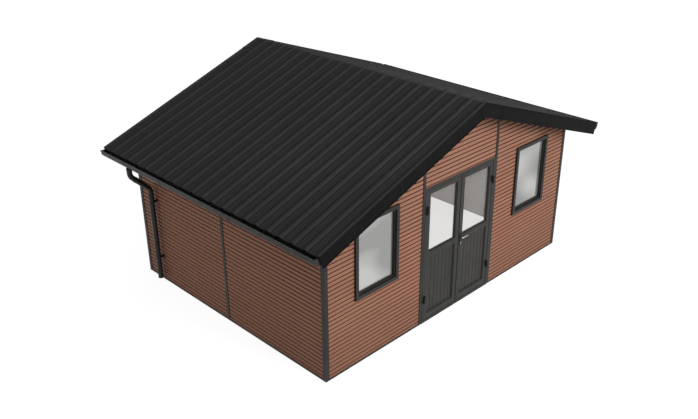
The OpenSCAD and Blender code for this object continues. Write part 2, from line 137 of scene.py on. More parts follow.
class Shape:
    """Collects closed solids that make one piece. tone and groove are stored for the materials; groove marks the
    hollows in which the board and roof materials paint shade.
    """

    def __init__(self):
        self.verts, self.faces, self.tones, self.grooves = [], [], [], []

    def add(self, verts, faces, tone=0.5, grooves=None):
        first = len(self.verts)
        self.verts += [tuple(v) for v in verts]
        self.faces += [[first + i for i in f] for f in faces]
        self.tones += [tone] * len(verts)
        self.grooves += grooves or [0.0] * len(verts)

    def prism(self, outline, place, w0, w1, tone=0.5):
        """A closed outline in u and v, run from w0 to w1."""
        n = len(outline)
        verts = [place(u, v, w) for w in (w0, w1) for u, v in outline]
        sides = [[i, (i + 1) % n, n + (i + 1) % n, n + i] for i in range(n)]
        self.add(verts, [list(range(n))[::-1], list(range(n, 2 * n)), *sides], tone)

    def block(self, lo, hi, side=1, tone=0.5):
        """A block between two corners, mirrored to the left when side is -1."""
        outline = [(lo[0], lo[1]), (hi[0], lo[1]), (hi[0], hi[1]), (lo[0], hi[1])]
        self.prism(outline, plan(side), lo[2], hi[2], tone)

    def ribbon(self, top, bottom, place, w0, w1, tone=0.5, grooves=None):
        """A strip between two lines of equally many points. w0 and w1 may depend on v."""
        n = len(top)
        ends = [w if callable(w) else (lambda v, fixed=w: fixed) for w in (w0, w1)]
        verts = [place(u, v, w(v)) for w in ends for u, v in [*top, *bottom]]
        faces = []
        for i in range(n - 1):
            for j in (0, n):
                faces.append([j + i, j + i + 1, 2 * n + j + i + 1, 2 * n + j + i])
            for j in (0, 2 * n):
                faces.append([j + i, j + i + 1, j + n + i + 1, j + n + i])
        for i in (0, n - 1):
            faces.append([i, n + i, 3 * n + i, 2 * n + i])
        self.add(verts, faces, tone, grooves and (grooves + [0.0] * n) * 2)

    def loft(self, rings, ring_closed=True, path_closed=False):
        """Skins rings of equally many points; the ends are capped unless the path is closed."""
        n, count = len(rings[0]), len(rings)
        faces = []
        for k in range(count if path_closed else count - 1):
            a, b = k * n, (k + 1) % count * n
            for i in range(n if ring_closed else n - 1):
                j = (i + 1) % n
                faces.append([a + i, a + j, b + j, b + i])
        if not path_closed:
            faces += [list(range(n))[::-1], list(range((count - 1) * n, count * n))]
        self.add([p for ring in rings for p in ring], faces)

    def lathe(self, profile, centre, axis, sides=28):
        """Turns (radius, distance along axis) points round the axis through centre."""
        turn = Vector(axis).to_track_quat("Z", "Y").to_matrix()
        rings = []
        for r, h in profile:
            angles = [2 * math.pi * i / sides for i in range(sides)]
            rings.append(
                [Vector(centre) + turn @ Vector((r * math.cos(a), r * math.sin(a), h)) for a in angles]
            )
        self.loft(rings)

    def tube(self, path, radius, wall=None, sides=28):
        """A round bar along a path, or a pipe when wall is given."""
        path = [Vector(p) for p in path]
        normal = (path[1] - path[0]).orthogonal().normalized()
        outer, inner = [], []
        for i, p in enumerate(path):
            along = (path[min(i + 1, len(path) - 1)] - path[max(i - 1, 0)]).normalized()
            normal = (normal - along * normal.dot(along)).normalized()
            across = along.cross(normal)
            for rings, r in ((outer, radius), (inner, radius - (wall or 0))):
                angles = [2 * math.pi * k / sides for k in range(sides)]
                rings.append([p + (normal * math.cos(a) + across * math.sin(a)) * r for a in angles])
        if wall is None:
            self.loft(outer)
        else:
            self.loft(outer + inner[::-1], path_closed=True)

    def mitred(self, profile, lo, hi, place, gap=0.0002):
        """Four mitred bars round a rectangle. profile holds (inset, w) points."""
        corners = [(0, 0), (1, 0), (1, 1), (0, 1)]

        def point(corner, inset, w, shift):
            u = hi[0] - inset if corner[0] else lo[0] + inset
            v = hi[1] - inset if corner[1] else lo[1] + inset
            return place(u + shift[0], v + shift[1], w)

        for k in range(4):
            a, b = corners[k], corners[(k + 1) % 4]
            step = ((b[0] - a[0]) * gap, (b[1] - a[1]) * gap)
            start = [point(a, inset, w, step) for inset, w in profile]
            end = [point(b, inset, w, (-step[0], -step[1])) for inset, w in profile]
            self.loft([start, end])

    def make(self, name, material, slot, body="shed", nodes=(), bevel=0.0, smooth=False):
        """Turns the solids into one piece that rides on body and stands for nodes."""
        mesh = bpy.data.meshes.new(name)
        mesh.from_pydata(self.verts, [], self.faces)
        bm = bmesh.new()
        bm.from_mesh(mesh)
        bmesh.ops.recalc_face_normals(bm, faces=bm.faces)
        bm.to_mesh(mesh)
        bm.free()
        for label, values in (("tone", self.tones), ("groove", self.grooves)):
            mesh.attributes.new(label, "FLOAT", "POINT").data.foreach_set("value", values)
        mesh.materials.append(material)
        if smooth:
            mesh.shade_smooth()
            mesh.set_sharp_from_angle(angle=math.radians(32))
        piece = bpy.data.objects.new(name, mesh)
        bpy.context.scene.collection.objects.link(piece)
        if bevel:
            rounding = piece.modifiers.new("edges", "BEVEL")
            rounding.width, rounding.segments = bevel, 2
            rounding.limit_method, rounding.angle_limit = "ANGLE", math.radians(50)
        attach(piece, body)
        if nodes:
            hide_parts(*nodes)
        return piece


def thickened(line, t):
    """The line moved by t to its left, with mitred corners."""
    normals = []
    for (x0, y0), (x1, y1) in zip(line, line[1:]):
        length = math.hypot(x1 - x0, y1 - y0)
        normals.append((-(y1 - y0) / length, (x1 - x0) / length))
    moved = []
    for i, (x, y) in enumerate(line):
        a, b = normals[max(i - 1, 0)], normals[min(i, len(normals) - 1)]
        share = 1 + a[0] * b[0] + a[1] * b[1]
        moved.append((x + t * (a[0] + b[0]) / share, y + t * (a[1] + b[1]) / share))
    return moved


def rounded_path(points, radius, steps=8):
    """The path with each inner corner turned into an arc-like curve."""
    points = [Vector(p) for p in points]
    path = [points[0]]
    for before, corner, after in zip(points, points[1:], points[2:]):
        a = corner + (before - corner).normalized() * radius
        b = corner + (after - corner).normalized() * radius
        for k in range(steps + 1):
            t = k / steps
            path.append(a * (1 - t) ** 2 + corner * 2 * t * (1 - t) + b * t**2)
    return [*path, points[-1]]


# ---- materials ----


def srgb(*levels):
    """A colour given in 0 to 255 display levels, as linear values."""
    shares = [v / 255 for v in levels]
    return [s / 12.92 if s <= 0.04045 else ((s + 0.055) / 1.055) ** 2.4 for s in shares] + [1.0]


class Surface:
    """One material and the few kinds of node that its detail is made of."""

    def __init__(self, name, roughness=0.5, metallic=0.0, specular=0.5):
        self.material = bpy.data.materials.new(name)
        self.material.use_nodes = True
        self.tree = self.material.node_tree
        self.shader = self.tree.nodes["Principled BSDF"]
        self.shader.inputs["Roughness"].default_value = roughness
        self.shader.inputs["Metallic"].default_value = metallic
        self.shader.inputs["Specular IOR Level"].default_value = specular
        self.normal = None

    def node(self, kind, **values):
        made = self.tree.nodes.new(kind)
        for key, value in values.items():
            if key in made.inputs:
                made.inputs[key].default_value = value
            else:
                setattr(made, key, value)
        return made

    def link(self, output, target):
        self.tree.links.new(output, target)

    def noise(self, scale, detail=4.0, distortion=0.0):
        """Noise in the object's frame with its own scale along X, Y and Z."""
        coord, mapping = self.node("ShaderNodeTexCoord"), self.node("ShaderNodeMapping", Scale=scale)
        texture = self.node("ShaderNodeTexNoise", Scale=1.0, Detail=detail, Distortion=distortion)
        self.link(coord.outputs["Object"], mapping.inputs["Vector"])
        self.link(mapping.outputs["Vector"], texture.inputs["Vector"])
        return texture.outputs["Fac"]

    def height(self):
        """Height above the ground."""
        coord, parts = self.node("ShaderNodeTexCoord"), self.node("ShaderNodeSeparateXYZ")
        self.link(coord.outputs["Object"], parts.inputs["Vector"])
        return parts.outputs["Z"]

    def attribute(self, name):
        return self.node("ShaderNodeAttribute", attribute_name=name).outputs["Fac"]

    def mapped(self, value, from_lo, from_hi, to_lo, to_hi):
        """value taken from one range to another, and held inside it."""
        made = self.node("ShaderNodeMapRange")
        for key, number in zip(
            ("From Min", "From Max", "To Min", "To Max"), (from_lo, from_hi, to_lo, to_hi)
        ):
            made.inputs[key].default_value = number
        self.link(value, made.inputs["Value"])
        return made.outputs["Result"]

    def mixed(self, factor, a, b, how="MIX"):
        """Two colours, each given as a list or an output, mixed by factor."""
        made = self.node("ShaderNodeMix", data_type="RGBA", blend_type=how)
        for value, target in ((factor, made.inputs[0]), (a, made.inputs[6]), (b, made.inputs[7])):
            if isinstance(value, bpy.types.NodeSocket):
                self.link(value, target)
            else:
                target.default_value = value
        return made.outputs[2]

    def bump(self, height, distance, strength=1.0):
        made = self.node("ShaderNodeBump", Strength=strength, Distance=distance)
        self.link(height, made.inputs["Height"])
        if self.normal:
            self.link(self.normal, made.inputs["Normal"])
        self.normal = made.outputs["Normal"]
        self.link(self.normal, self.shader.inputs["Normal"])

    def colour(self, output):
        self.link(output, self.shader.inputs["Base Color"])

    def roughness(self, output):
        self.link(output, self.shader.inputs["Roughness"])


def composite_board():
    """Brushed wood-plastic board: long streaks, fine grain, grooves painted near black as shade, and painted shade
    that darkens the rows towards the ground.
    """
    s = Surface("composite_board")
    streaks = s.noise((1.1, 1.1, 75), 5, 0.2)
    fibres = s.noise((9, 9, 420), 3)
    patches = s.noise((1.4, 1.4, 1.9), 2)
    base = s.mixed(s.mapped(streaks, 0.32, 0.68, 0, 1), srgb(157, 104, 80), srgb(183, 128, 101))
    base = s.mixed(s.mapped(fibres, 0.35, 0.7, 0, 0.35), base, srgb(134, 86, 64))
    base = s.mixed(s.mapped(s.attribute("tone"), 0, 1, 0.0, 0.22), base, srgb(146, 98, 77))
    base = s.mixed(s.mapped(patches, 0.35, 0.7, 0, 0.14), base, srgb(200, 152, 128))
    # painted shade: the boards darken towards the ground, over the lowest 0.7 m
    base = s.mixed(s.mapped(s.height(), 0.0, 0.7, 0.26, 0), base, srgb(112, 68, 50))
    # painted shade: the faces inside the grooves are painted near black
    base = s.mixed(s.mapped(s.attribute("groove"), 0, 1, 0, 1), base, srgb(24, 13, 9))
    s.colour(base)
    s.roughness(s.mapped(streaks, 0.3, 0.7, 0.62, 0.8))
    s.bump(streaks, 0.0009, 0.5)
    s.bump(fibres, 0.0004, 0.6)
    return s.material


def powder_coat(name, dark, light, gloss=0.42, peel=0.00012, specular=0.22):
    """Powder-coated metal: orange peel, faint cloudiness, dust that dulls it in patches."""
    s = Surface(name, specular=specular)
    clouds, peel_noise, dust = s.noise((3, 3, 2), 3), s.noise((420, 420, 420), 2), s.noise((14, 14, 5), 5)
    base = s.mixed(s.mapped(clouds, 0.35, 0.65, 0, 1), dark, light)
    base = s.mixed(s.mapped(dust, 0.52, 0.8, 0, 0.08), base, srgb(112, 108, 100))
    s.colour(base)
    s.roughness(s.mapped(dust, 0.35, 0.75, gloss, gloss + 0.2))
    s.bump(peel_noise, peel, 0.6)
    return s.material


def coated_sheet(name, dark, light):
    """Matt coated roof steel with rain streaks down the slope, a fine grain and painted shade in the pans between the
    ribs.
    """
    s = Surface(name, specular=0.03)
    streaks, grain, clouds = s.noise((1.3, 34, 1.3), 4), s.noise((700, 700, 700), 2), s.noise((1, 1, 1), 2)
    base = s.mixed(s.mapped(clouds, 0.35, 0.65, 0, 1), dark, light)
    base = s.mixed(s.mapped(streaks, 0.5, 0.8, 0, 0.1), base, srgb(80, 78, 75))
    # painted shade: the pans darker than the tops of the ribs and swages
    base = s.mixed(s.mapped(s.attribute("groove"), 0, 1, 0, 0.45), base, srgb(38, 38, 38))
    s.colour(base)
    s.roughness(s.mapped(streaks, 0.3, 0.75, 0.66, 0.84))
    s.bump(grain, 0.00003, 0.3)
    return s.material


def softwood():
    """Planed spruce with growth rings drawn out along the timber."""
    s = Surface("softwood")
    rings, fibres = s.noise((26, 1.1, 26), 3, 1.2), s.noise((260, 6, 260), 3)
    base = s.mixed(s.mapped(rings, 0.35, 0.65, 0, 1), srgb(196, 160, 112), srgb(164, 122, 78))
    base = s.mixed(s.mapped(fibres, 0.4, 0.7, 0, 0.4), base, srgb(142, 104, 66))
    s.colour(base)
    s.roughness(s.mapped(rings, 0.3, 0.7, 0.6, 0.78))
    s.bump(fibres, 0.0005, 0.5)
    return s.material


def glass(name, pale_reflection, shade, alpha, metallic):
    """Coated glazing: part mirror, part clear; its pale colour is a painted reflection, and its soft pale and grey
    clouds are painted reflection and painted shade.
    """
    s = Surface(name, 0.06, metallic)
    # painted reflection and painted shade: pale and grey clouds in the colour stand for the surroundings and the
    # inside seen in the glass
    reflection_clouds = s.noise((1.1, 1.1, 2.1), 0, 0.3)
    base = s.mixed(s.mapped(reflection_clouds, 0.35, 0.65, 0, 1), pale_reflection, shade)
    s.colour(base)
    s.roughness(s.mapped(reflection_clouds, 0.3, 0.7, 0.02, 0.04))
    s.shader.inputs["Alpha"].default_value = alpha
    return s.material


def brushed_steel(name, shade, grain):
    """Brushed stainless steel with the grain drawn out along one axis."""
    s = Surface(name, 0.32, 1.0)
    lines, marks = s.noise(grain, 3), s.noise((40, 40, 40), 3)
    s.colour(s.mixed(s.mapped(lines, 0.3, 0.7, 0, 0.5), shade, srgb(120, 120, 118)))
    s.roughness(s.mapped(marks, 0.35, 0.7, 0.25, 0.42))
    s.bump(lines, 0.00006, 0.5)
    return s.material


def rubber():
    s = Surface("rubber", 0.8)
    grain = s.noise((300, 300, 300), 2)
    s.colour(s.mixed(s.mapped(grain, 0.35, 0.65, 0, 1), srgb(16, 16, 16), srgb(28, 28, 27)))
    s.bump(grain, 0.0002, 0.5)
    return s.material


BOARDS = composite_board()
FRAME_METAL = powder_coat("frame_metal", srgb(32, 32, 30), srgb(38, 37, 35))
DOOR_METAL = powder_coat("door_metal", srgb(44, 44, 42), srgb(51, 50, 48), 0.45)
HINGE_METAL = powder_coat("hinge_metal", srgb(14, 14, 14), srgb(20, 20, 19), 0.36)
TRIM_METAL = powder_coat("trim_metal", srgb(8, 8, 8), srgb(12, 12, 12), 0.5, specular=0.05)
GUTTER_METAL = powder_coat("gutter_metal", srgb(34, 34, 33), srgb(42, 42, 40), 0.34, 0.00006)
ROOF_METAL = coated_sheet("roof_metal", srgb(64, 64, 64), srgb(68, 68, 68))
TIMBER = softwood()
WINDOW_GLASS = glass("window_glass", srgb(206, 206, 204), srgb(156, 157, 155), 0.8, 0.5)
DOOR_GLASS = glass("door_glass", srgb(212, 209, 205), srgb(190, 186, 182), 0.26, 0.35)
HANDLE_STEEL = brushed_steel("handle_steel", srgb(205, 204, 200), (30, 700, 700))
SCREW_STEEL = brushed_steel("screw_steel", srgb(150, 150, 148), (300, 300, 300))
RUBBER = rubber()

# ---- posts and rails ----


def post(name, node, spots):
    """Posts up to the roof, each given as x and y ranges."""
    shape = Shape()
    for x0, x1, y0, y1 in spots:
        outline = [(x0, 0), (x1, 0), (x1, under_roof(x1)), (x0, under_roof(x0))]
        shape.prism(outline, gable(), y0, y1)
    shape.make(name, FRAME_METAL, "frame_metal", nodes=[node], bevel=0.003)


def mirrored(x0, x1, y0, y1):
    return [(x0, x1, y0, y1), (-x1, -x0, y0, y1)]


def build_posts():
    for side, word in ((-1, "left"), (1, "right")):
        xs = sorted((side * (SIDE_X - CORNER), side * SIDE_X))
        for end, y0 in (("front", FRONT_Y), ("rear", REAR_Y - CORNER)):
            node = f"corner_post_{end}_{word}"
            post(f"post_{end}_{word}", node, [(*xs, y0, y0 + CORNER)])
    post("posts_beside_door", "door_posts", mirrored(DOOR_X, DOOR_X + POST_W, FRONT_Y, FRONT_Y + POST_T))
    half = POST_W / 2
    post("posts_mid_side", "side_posts", mirrored(SIDE_X - POST_T, SIDE_X, MID_Y - half, MID_Y + half))
    post(
        "posts_mid_rear",
        "rear_posts",
        mirrored(REAR_POST_X - half, REAR_POST_X + half, REAR_Y - POST_T, REAR_Y),
    )


# ---- walls ----


def board_profile(depth_into_row):
    """Depth of the board's face below its front at a height within its row."""
    from_joint = min(depth_into_row, ROW - depth_into_row)
    if from_joint <= GROOVE_HALF:
        return GROOVE_DEPTH
    share = 1 - (from_joint - GROOVE_HALF) / GROOVE_SLANT
    return GROOVE_DEPTH * share if share > 0.001 else 0.0


def board_rows(shape, place, face, back, u0, u1, z0, z1, tones, under_slope):
    """Rows of grooved boards from u0 to u1 and z0 to z1, cut along the roof where under_slope."""
    inward = 1 if back > face else -1
    slant = GROOVE_HALF + GROOVE_SLANT
    for row in range(len(tones)):
        base = ROW_START + row * ROW
        marks = [0, GROOVE_HALF, slant, ROW - slant, ROW - GROOVE_HALF, ROW]
        lo, hi = max(base, z0), min(base + ROW, z1)
        top = under_roof(u0) if u0 > 0 else under_roof(0)
        if under_slope:
            hi = min(hi, top - 0.0005)
            marks += [under_roof(u1) - base]
        if hi - lo < 0.001:
            continue
        levels = sorted({lo, hi, *(base + m for m in marks if lo < base + m < hi)})
        verts, grooves = [], []
        for z in levels:
            limit = reach_under_roof(z) if under_slope else 1e3
            a, b = max(u0, -limit), min(u1, limit)
            depth = board_profile(z - base)
            for w in (face + inward * depth, back):
                verts += [place(a, z, w), place(b, z, w)]
            # groove is 1 on the faces inside the grooves, which the board material paints near black as shade
            grooves += [float(depth > 0)] * 2 + [0.0] * 2
        faces = []
        for k in range(len(levels) - 1):
            i, j = 4 * k, 4 * k + 4
            faces += [[i, i + 1, j + 1, j], [i + 2, i + 3, j + 3, j + 2]]
            faces += [[i, i + 2, j + 2, j], [i + 1, i + 3, j + 3, j + 1]]
        last = 4 * (len(levels) - 1)
        faces += [[0, 1, 3, 2], [last, last + 1, last + 3, last + 2]]
        shape.add(verts, faces, tones[row], grooves)


def wall(name, node, place, face, back, parts, under_slope=True):
    shape = Shape()
    tones = [random.random() for _ in range(52)]
    for u0, u1, z0, z1 in parts:
        board_rows(shape, place, face, back, u0, u1, z0, z1, tones, under_slope)
    shape.make(name, BOARDS, "wall_board", nodes=[node])


WINDOW_LO, WINDOW_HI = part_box("window_frame_right")
FLANGE_LAP = 0.020


def build_walls():
    random.seed(19)
    front_back, rear_back = FRONT_FACE + BOARD_T, REAR_FACE - BOARD_T
    inner, outer = DOOR_X + POST_W, SIDE_X - CORNER
    hx0, hx1 = WINDOW_LO.x + FLANGE_LAP, WINDOW_HI.x - FLANGE_LAP
    hz0, hz1 = WINDOW_LO.z + FLANGE_LAP, WINDOW_HI.z - FLANGE_LAP
    top = RIDGE_Z
    for side, word in ((-1, "left"), (1, "right")):
        around_window = [
            (inner, outer, RAIL_TOP, hz0),
            (inner, hx0, hz0, hz1),
            (hx1, outer, hz0, hz1),
            (inner, outer, hz1, top),
        ]
        wall(f"boards_front_{word}", f"front_wall_{word}", gable(side), FRONT_FACE, front_back, around_window)
        plain = [(REAR_POST_X + POST_W / 2, outer, RAIL_TOP, top)]
        wall(f"boards_rear_{word}", f"rear_wall_{word}", gable(side), REAR_FACE, rear_back, plain)
        side_top = under_roof(SIDE_FACE)
        for end, y0, y1 in (
            ("front", FRONT_Y + CORNER, MID_Y - POST_W / 2),
            ("rear", MID_Y + POST_W / 2, REAR_Y - CORNER),
        ):
            parts = [(y0, y1, RAIL_TOP, side_top)]
            name, node = f"boards_{word}_{end}", f"{word}_wall_{end}"
            wall(name, node, flank(side), SIDE_FACE, SIDE_FACE - BOARD_T, parts, False)
    over = [(-DOOR_X, DOOR_X, DOOR_TOP, top)]
    wall("boards_over_door", "front_wall_over_door", gable(), FRONT_FACE, front_back, over)
    reach = REAR_POST_X - POST_W / 2
    wall(
        "boards_rear_centre",
        "rear_wall_centre",
        gable(),
        REAR_FACE,
        rear_back,
        [(-reach, reach, RAIL_TOP, top)],
    )


# ---- roof ----

RIB_SPACES = 21
RIB_H = 0.022
RIB_TOP = 0.040
RIB_RUN = 0.012
RIB_PITCH = (2 * VERGE_Y - RIB_TOP) / RIB_SPACES
SWAGE_H = 0.007
SHEET_T = 0.002
CAP_W = 0.310


def rib_middles():
    return [-VERGE_Y + RIB_TOP / 2 + i * RIB_PITCH for i in range(RIB_SPACES + 1)]


def sheet_line(lift, swages=True):
    """The sheet's line from verge to verge: ribs, with three fine swages in each pan."""
    line, half = [], RIB_TOP / 2
    for i, mid in enumerate(rib_middles()):
        line += [(mid - half - RIB_RUN, lift - RIB_H), (mid - half, lift)]
        line += [(mid + half, lift), (mid + half + RIB_RUN, lift - RIB_H)]
        if swages and i < RIB_SPACES:
            for k in (1, 2, 3):
                centre = mid + half + RIB_RUN + (RIB_PITCH - RIB_TOP - 2 * RIB_RUN) * k / 4
                line += [(centre - 0.009, lift - RIB_H), (centre - 0.0045, lift - RIB_H + SWAGE_H)]
                line += [(centre + 0.0045, lift - RIB_H + SWAGE_H), (centre + 0.009, lift - RIB_H)]
    return [p for p in line if abs(p[0]) < VERGE_Y + 0.0001]


def lowered(line, t):
    return [(u, v - t) for u, v in line]


def sunk_share(line, lift):
    """0 on the ribs and swages and 1 in the pans, for the shade that the roof material paints there."""
    return [float(lift - v > RIB_H - 0.001) for _, v in line]


def screw(shape, place, u, v, w, size=0.006):
    """A hexagon-headed screw on its washer, square to the slope."""
    rings = []
    for r, h, sides in ((1.5, 0, 12), (1.5, 0.25, 12), (1.0, 0.3, 12), (0.95, 0.9, 12), (0.6, 1.05, 12)):
        angles = [2 * math.pi * k / sides for k in range(sides)]
        flat = [(r * size * (1 - 0.06 * (k % 2)) * math.cos(a), r * size * math.sin(a)) for k, a in enumerate(angles)]
        rings.append([place(u + a, v + h * size, w + b) for a, b in flat])
    shape.loft(rings)


def build_roof():
    for side, word in ((-1, "left"), (1, "right")):
        shape, place = Shape(), slope(side)
        line = sheet_line(0)
        shape.ribbon(line, lowered(line, SHEET_T), place, 0.012, SLOPE_LEN, grooves=sunk_share(line, 0))
        shape.make(f"sheets_{word}", ROOF_METAL, "roof_metal", nodes=[f"roof_sheet_{word}"])

        fixings = Shape()
        half = RIB_TOP / 2 + RIB_RUN + 0.012
        for mid in rib_middles()[:-1]:
            for w in (0.62, 1.505, 2.82):
                screw(fixings, place, mid + half, -RIB_H, w)
        for mid in rib_middles()[1:-1:2]:
            screw(fixings, place, mid, 0.003, CAP_W - 0.03, 0.005)
        fixings.make(f"roof_screws_{word}", ROOF_METAL, "roof_metal")

    cap = Shape()
    for side in (-1, 1):
        line = sheet_line(0.003, swages=False)
        to_ridge = lambda v: -v * math.tan(PITCH) + 0.0003  # noqa: E731
        sunk = sunk_share(line, 0.003)
        cap.ribbon(line, lowered(line, 0.002), slope(side), to_ridge, CAP_W, grooves=sunk)
        hem = [(u, v + 0.003) for u, v in line]
        cap.ribbon(hem, lowered(line, 0.002), slope(side), CAP_W - 0.012, CAP_W + 0.0015, grooves=sunk)
    cap.make("ridge_capping", ROOF_METAL, "roof_metal", nodes=["ridge_cap"])

    # A thin dark rubber strip on the sheets, 1.5 mm thick, from 5 mm under the cap's edge to 20 mm below it. It stands
    # for the foam closures; the part that shows below the cap is a painted shadow line, as real closures sit back
    # under the cap.
    closures_and_shadow = Shape()
    for side in (-1, 1):
        line = sheet_line(0)
        closures_and_shadow.ribbon(lowered(line, -0.0015), line, slope(side), CAP_W - 0.005, CAP_W + 0.02)
    closures_and_shadow.make("cap_closures", RUBBER, "roof_metal")


# depth below the rib tops and x of the lap between the two front bargeboards
LAP = [(0.0043, -0.045), (0.110, -0.095), (0.186, -0.026)]
BARGE_H = 0.186
BARGE_T = 0.020
BARGE_HEM = 0.003


def line_at(points, d):
    for (d0, x0), (d1, x1) in zip(points, points[1:]):
        if d <= d1:
            return x0 + (x1 - x0) * (d - d0) / (d1 - d0)
    return points[-1][1]


def barge_band(side, d0, d1):
    """Outline in x and z of the bargeboard between two depths below the rib tops."""
    def at(x, d):
        return (x, RIDGE_Z - d / math.cos(PITCH) - abs(x) * math.tan(PITCH))

    def end_x(d):
        return EAVE_X - 0.001 - (d - LAP[0][0]) * math.sin(PITCH)

    depths = sorted({d0, d1, *(d for d, _ in LAP if d0 < d < d1)})
    gap = 0.004 if side < 0 else 0
    seam = [at(line_at(LAP, d) - gap, d) for d in depths]
    if side < 0:
        return [*seam, at(-end_x(d1), d1), at(-end_x(d0), d0)]
    return [at(0, d0), at(end_x(d0), d0), at(end_x(d1), d1), at(0, d1), *seam[::-1]]


def build_bargeboards():
    for end in (-1, 1):
        for side, word in ((-1, "left"), (1, "right")):
            drawn = side if end < 0 else -side
            place = gable(1 if end < 0 else -1)
            face, back = end * VERGE_Y, end * (VERGE_Y - BARGE_T)
            sunk = face - end * BARGE_HEM
            shape = Shape()
            shape.prism(barge_band(drawn, LAP[0][0], BARGE_H), place, sunk, back)
            for d0, d1 in ((LAP[0][0], 0.018), (0.172, BARGE_H)):
                shape.prism(barge_band(drawn, d0, d1), place, face, sunk - end * 0.001)
            for k in range(5):
                x = 0.35 + k * 0.56
                for d in (0.034, 0.155):
                    z = RIDGE_Z - d / math.cos(PITCH) - x * math.tan(PITCH)
                    centre = Vector(place(drawn * x, z, sunk + end * 0.0005))
                    shape.lathe([(0.0055, -0.002), (0.0055, 0.001), (0.003, 0.0024)], centre, (0, end, 0), 12)
            where = "front" if end < 0 else "rear"
            node = f"bargeboard_{where}_{word}"
            shape.make(f"verge_{where}_{word}", TRIM_METAL, "trim_metal", nodes=[node], bevel=0.001)


# ---- gutters and downpipes ----

GUTTER_LO, GUTTER_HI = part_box("gutter_right")
GUTTER_W = GUTTER_HI.x - GUTTER_LO.x
GUTTER_H = GUTTER_HI.z - GUTTER_LO.z
PIPE_LO, PIPE_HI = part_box("downpipe_right")
PIPE_R = (PIPE_HI.y - PIPE_LO.y) / 2
PIPE_DROP = 0.125


def build_gutter(side, word):
    w, h = GUTTER_W, GUTTER_H
    line = [(0, h - 0.006), (0, 0), (0.62 * w, 0), (0.9 * w, 0.36 * h), (0.9 * w, 0.8 * h)]
    line += [(w, 0.86 * h), (w, h), (w - 0.012, h), (w - 0.0125, h - 0.007)]
    shape, y0, y1 = Shape(), GUTTER_LO.y, GUTTER_HI.y

    def place(u, v, y):
        return (side * (GUTTER_LO.x + u), y, GUTTER_LO.z + v)

    shape.ribbon(line, thickened(line, 0.002), place, y0, y1)
    end_line = [(0.001, 0.001), (0.62 * w, 0.001), (0.9 * w - 0.001, 0.36 * h)]
    end_line += [(0.9 * w - 0.001, 0.8 * h), (w - 0.001, 0.87 * h), (w - 0.001, h - 0.005), (0.001, h - 0.005)]
    for y in (y0, y1 - 0.003):
        shape.prism(end_line, place, y, y + 0.003)
    band = line[1:7]
    for y in (-0.7, 0.75):
        shape.ribbon(thickened(band, -0.0025), band, place, y, y + 0.06)
    count = 8
    for k in range(count):
        y = y0 + 0.15 + (y1 - y0 - 0.3) * k / (count - 1)
        strap = [(0.002, h - 0.040), (0.9 * w - 0.002, h - 0.034), (0.9 * w - 0.002, h - 0.031), (0.002, h - 0.037)]
        shape.prism(strap, place, y - 0.013, y + 0.013)
    shape.make(f"trough_{word}", GUTTER_METAL, "gutter_metal", nodes=[f"gutter_{word}"])


def collar(shape, at, along, length, radius):
    """A socket or ring round the pipe, with softened ends."""
    grow, soft = 0.0035, 0.003
    profile = [(radius - 0.001, 0), (radius + grow, soft), (radius + grow, length - soft), (radius - 0.001, length)]
    shape.lathe(profile, at, along, 32)


def build_downpipe(side, word):
    y = (PIPE_LO.y + PIPE_HI.y) / 2
    top_x, wall_x = side * (PIPE_HI.x - PIPE_R), side * (PIPE_LO.x + PIPE_R)
    top_z, foot_z = PIPE_HI.z, PIPE_LO.z
    bend = Vector((top_x, y, top_z - PIPE_DROP))
    wall_bend = Vector((wall_x, y, bend.z - abs(top_x - wall_x)))
    path = [Vector((top_x, y, top_z)), bend, wall_bend, Vector((wall_x, y, foot_z))]
    shape = Shape()
    shape.tube(rounded_path(path, 0.048), PIPE_R, wall=0.002, sides=36)
    neck = (wall_bend - bend).normalized()
    down = Vector((0, 0, -1))
    collar(shape, (top_x, y, top_z + 0.001), down, 0.040, PIPE_R)
    collar(shape, bend + neck * 0.085, neck, 0.045, PIPE_R)
    collar(shape, wall_bend + down * 0.075, down, 0.050, PIPE_R)
    for z in (1.32, 0.42):
        collar(shape, (wall_x, y, z), down, 0.028, PIPE_R)
        gap = abs(wall_x) - PIPE_R
        for dy in (-0.018, 0.010):
            shape.block((SIDE_FACE - 0.002, y + dy, z - 0.025), (gap + 0.004, y + dy + 0.008, z - 0.003), side)
        shape.block((SIDE_FACE - 0.002, y - 0.03, z - 0.036), (SIDE_FACE + 0.006, y + 0.03, z + 0.008), side)
        for dy in (-0.05, 0.038):
            lug = (wall_x * side - 0.010, y + dy, z - 0.024)
            shape.block(lug, (wall_x * side + 0.010, y + dy + 0.012, z - 0.004), side)
    shape.make(f"rainpipe_{word}", GUTTER_METAL, "gutter_metal", nodes=[f"downpipe_{word}"], smooth=True)


# ---- windows ----

FACE_W = 0.052
SASH_W = 0.020
SASH_STEP = 0.020


